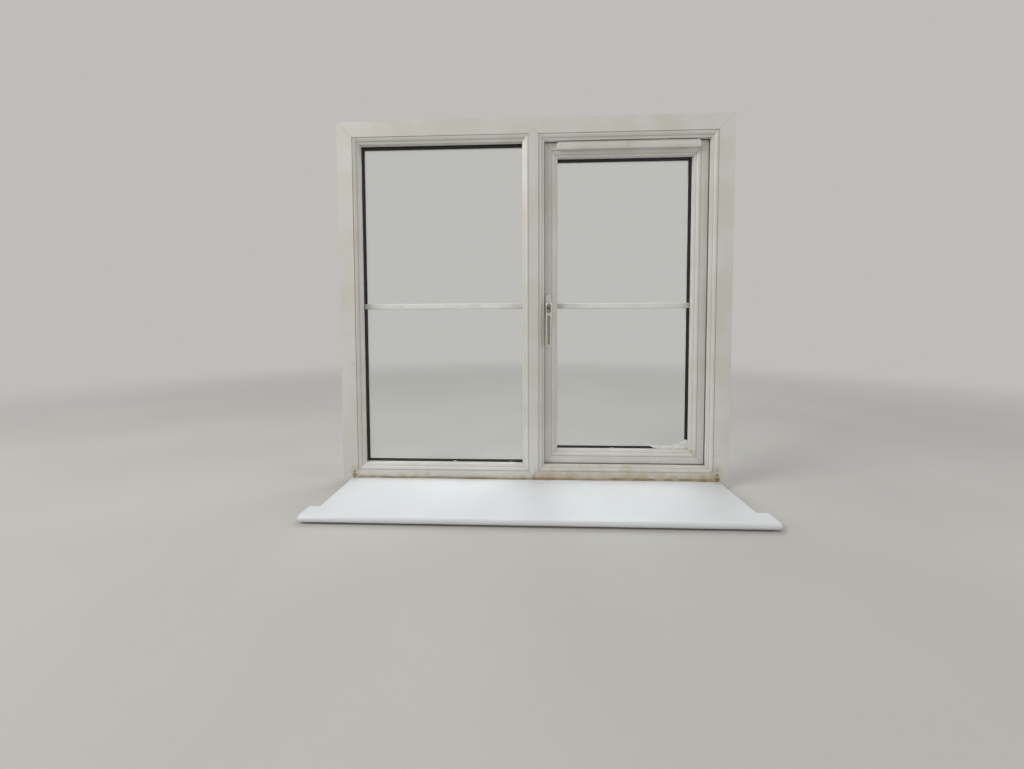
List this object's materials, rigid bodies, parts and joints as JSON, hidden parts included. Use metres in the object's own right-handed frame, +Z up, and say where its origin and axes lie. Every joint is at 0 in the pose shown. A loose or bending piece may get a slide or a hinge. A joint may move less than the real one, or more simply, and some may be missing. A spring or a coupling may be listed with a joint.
{
  "type": "casement window",
  "caption": "White uPVC casement window with a fixed light, a side-hung opening light, a trickle vent and a window board.",
  "frame": {"origin": "middle of the frame foot's underside, at half the frame's depth", "axes": "+X to the right seen from the room, +Y through the wall to the outside, +Z up"},
  "size_m": [1.308, 0.3857, 1.22],
  "materials": {
    "frame_profile": "satin white uPVC, slightly greyed",
    "casement_profile": "satin white uPVC, slightly greyed",
    "board_plastic": "smooth white foiled board",
    "sealant": "aged cream sealant with grime",
    "clear_glass": "clear float glass",
    "black_spacer": "black warm-edge spacer",
    "bar_plastic": "white painted bar",
    "light_gasket": "pale grey glazing gasket",
    "black_gasket": "black rubber",
    "packer_plastic": "moulded packer",
    "zinc_steel": "bright zinc plated",
    "handle_metal": "worn bright plated",
    "handle_base_finish": "white",
    "key_metal": "dark key cylinder",
    "vent_plastic": "white moulded vent",
    "cap_plastic": "white moulded cap"
  },
  "bodies": {
    "frame": {"frame_head": "frame_profile", "frame_foot": "frame_profile", "frame_left_jamb": "frame_profile", "frame_right_jamb": "frame_profile", "mullion": "frame_profile", "mullion_reinforcement": "zinc_steel", "frame_seal": "black_gasket", "fixed_inner_pane": "clear_glass", "fixed_outer_pane": "clear_glass", "fixed_spacer": "black_spacer", "fixed_glazing_bar": "bar_plastic", "fixed_inner_gasket": "light_gasket", "fixed_outer_gasket": "black_gasket", "fixed_packers": "packer_plastic", "fixed_bead_head": "frame_profile", "fixed_bead_foot": "frame_profile", "fixed_bead_left": "frame_profile", "fixed_bead_right": "frame_profile", "lock_keeps": "zinc_steel", "upper_stay_track": "zinc_steel", "lower_stay_track": "zinc_steel", "frame_stay_screws": "zinc_steel", "drain_caps": "cap_plastic", "window_board": "board_plastic", "board_sealant": "sealant"},
    "casement": {"sash_head": "casement_profile", "sash_foot": "casement_profile", "sash_hinge_stile": "casement_profile", "sash_lock_stile": "casement_profile", "sash_reinforcement": "zinc_steel", "sash_seal": "black_gasket", "sash_inner_pane": "clear_glass", "sash_outer_pane": "clear_glass", "sash_spacer": "black_spacer", "sash_glazing_bar": "bar_plastic", "sash_inner_gasket": "light_gasket", "sash_outer_gasket": "black_gasket", "sash_packers": "packer_plastic", "sash_bead_head": "casement_profile", "sash_bead_foot": "casement_profile", "sash_bead_left": "casement_profile", "sash_bead_right": "casement_profile", "upper_stay_plate": "zinc_steel", "lower_stay_plate": "zinc_steel", "sash_stay_screws": "zinc_steel", "espag_case": "zinc_steel", "handle_base": "handle_base_finish", "handle_screws": "handle_base_finish", "vent_body": "vent_plastic", "vent_canopy": "vent_plastic"},
    "handle": {"handle_lever": "handle_metal", "handle_spindle": "zinc_steel", "espag_follower": "zinc_steel"},
    "key_cylinder": {"lock_cylinder": "key_metal"},
    "lock_rod": {"espag_rod": "zinc_steel"},
    "vent_shutter": {"vent_flap": "vent_plastic"},
    "upper_arm": {"upper_stay_arm": "zinc_steel"},
    "lower_arm": {"lower_stay_arm": "zinc_steel"},
    "upper_shoe": {"upper_stay_shoe": "zinc_steel"},
    "lower_shoe": {"lower_stay_shoe": "zinc_steel"}
  },
  "joints": [
    {"name": "casement_swing", "type": "hinge", "parent": "frame", "child": "casement", "pos_m": [0.62, 0.0192, 0.61], "axis": [0, 0, -1], "range_deg": [0, 60]},
    {"name": "handle_turn", "type": "hinge", "parent": "casement", "child": "handle", "pos_m": [0.0537, -0.0175, 0.609], "axis": [0, -1, 0], "range_deg": [0, 90]},
    {"name": "key_turn", "type": "hinge", "parent": "handle", "child": "key_cylinder", "pos_m": [0.0537, -0.045, 0.6], "axis": [0, -1, 0], "range_deg": [0, 90]},
    {"name": "rod_slide", "type": "slide", "parent": "casement", "child": "lock_rod", "axis": [0, 0, 1], "range_m": [-0.0128, 0]},
    {"name": "vent_tilt", "type": "hinge", "parent": "casement", "child": "vent_shutter", "pos_m": [0.31435, -0.0209, 1.1299], "axis": [1, 0, 0], "range_deg": [0, 35]},
    {"name": "upper_arm_turn", "type": "hinge", "parent": "casement", "child": "upper_arm", "pos_m": [0.47, 0.0192, 1.162], "axis": [0, 0, -1], "range_deg": [-121, 1]},
    {"name": "upper_shoe_turn", "type": "hinge", "parent": "upper_arm", "child": "upper_shoe", "pos_m": [0.32, 0.0192, 1.162], "axis": [0, 0, -1], "range_deg": [-1, 61]},
    {"name": "lower_arm_turn", "type": "hinge", "parent": "casement", "child": "lower_arm", "pos_m": [0.47, 0.0192, 0.058], "axis": [0, 0, -1], "range_deg": [-121, 1]},
    {"name": "lower_shoe_turn", "type": "hinge", "parent": "lower_arm", "child": "lower_shoe", "pos_m": [0.32, 0.0192, 0.058], "axis": [0, 0, -1], "range_deg": [-1, 61]}
  ],
  "couplings": [
    {"joint": "rod_slide", "follows": "handle_turn", "m_per_rad": -0.008},
    {"joint": "upper_arm_turn", "follows": "casement_swing", "ratio": -2},
    {"joint": "upper_shoe_turn", "follows": "casement_swing", "ratio": 1},
    {"joint": "lower_arm_turn", "follows": "casement_swing", "ratio": -2},
    {"joint": "lower_shoe_turn", "follows": "casement_swing", "ratio": 1}
  ]
}
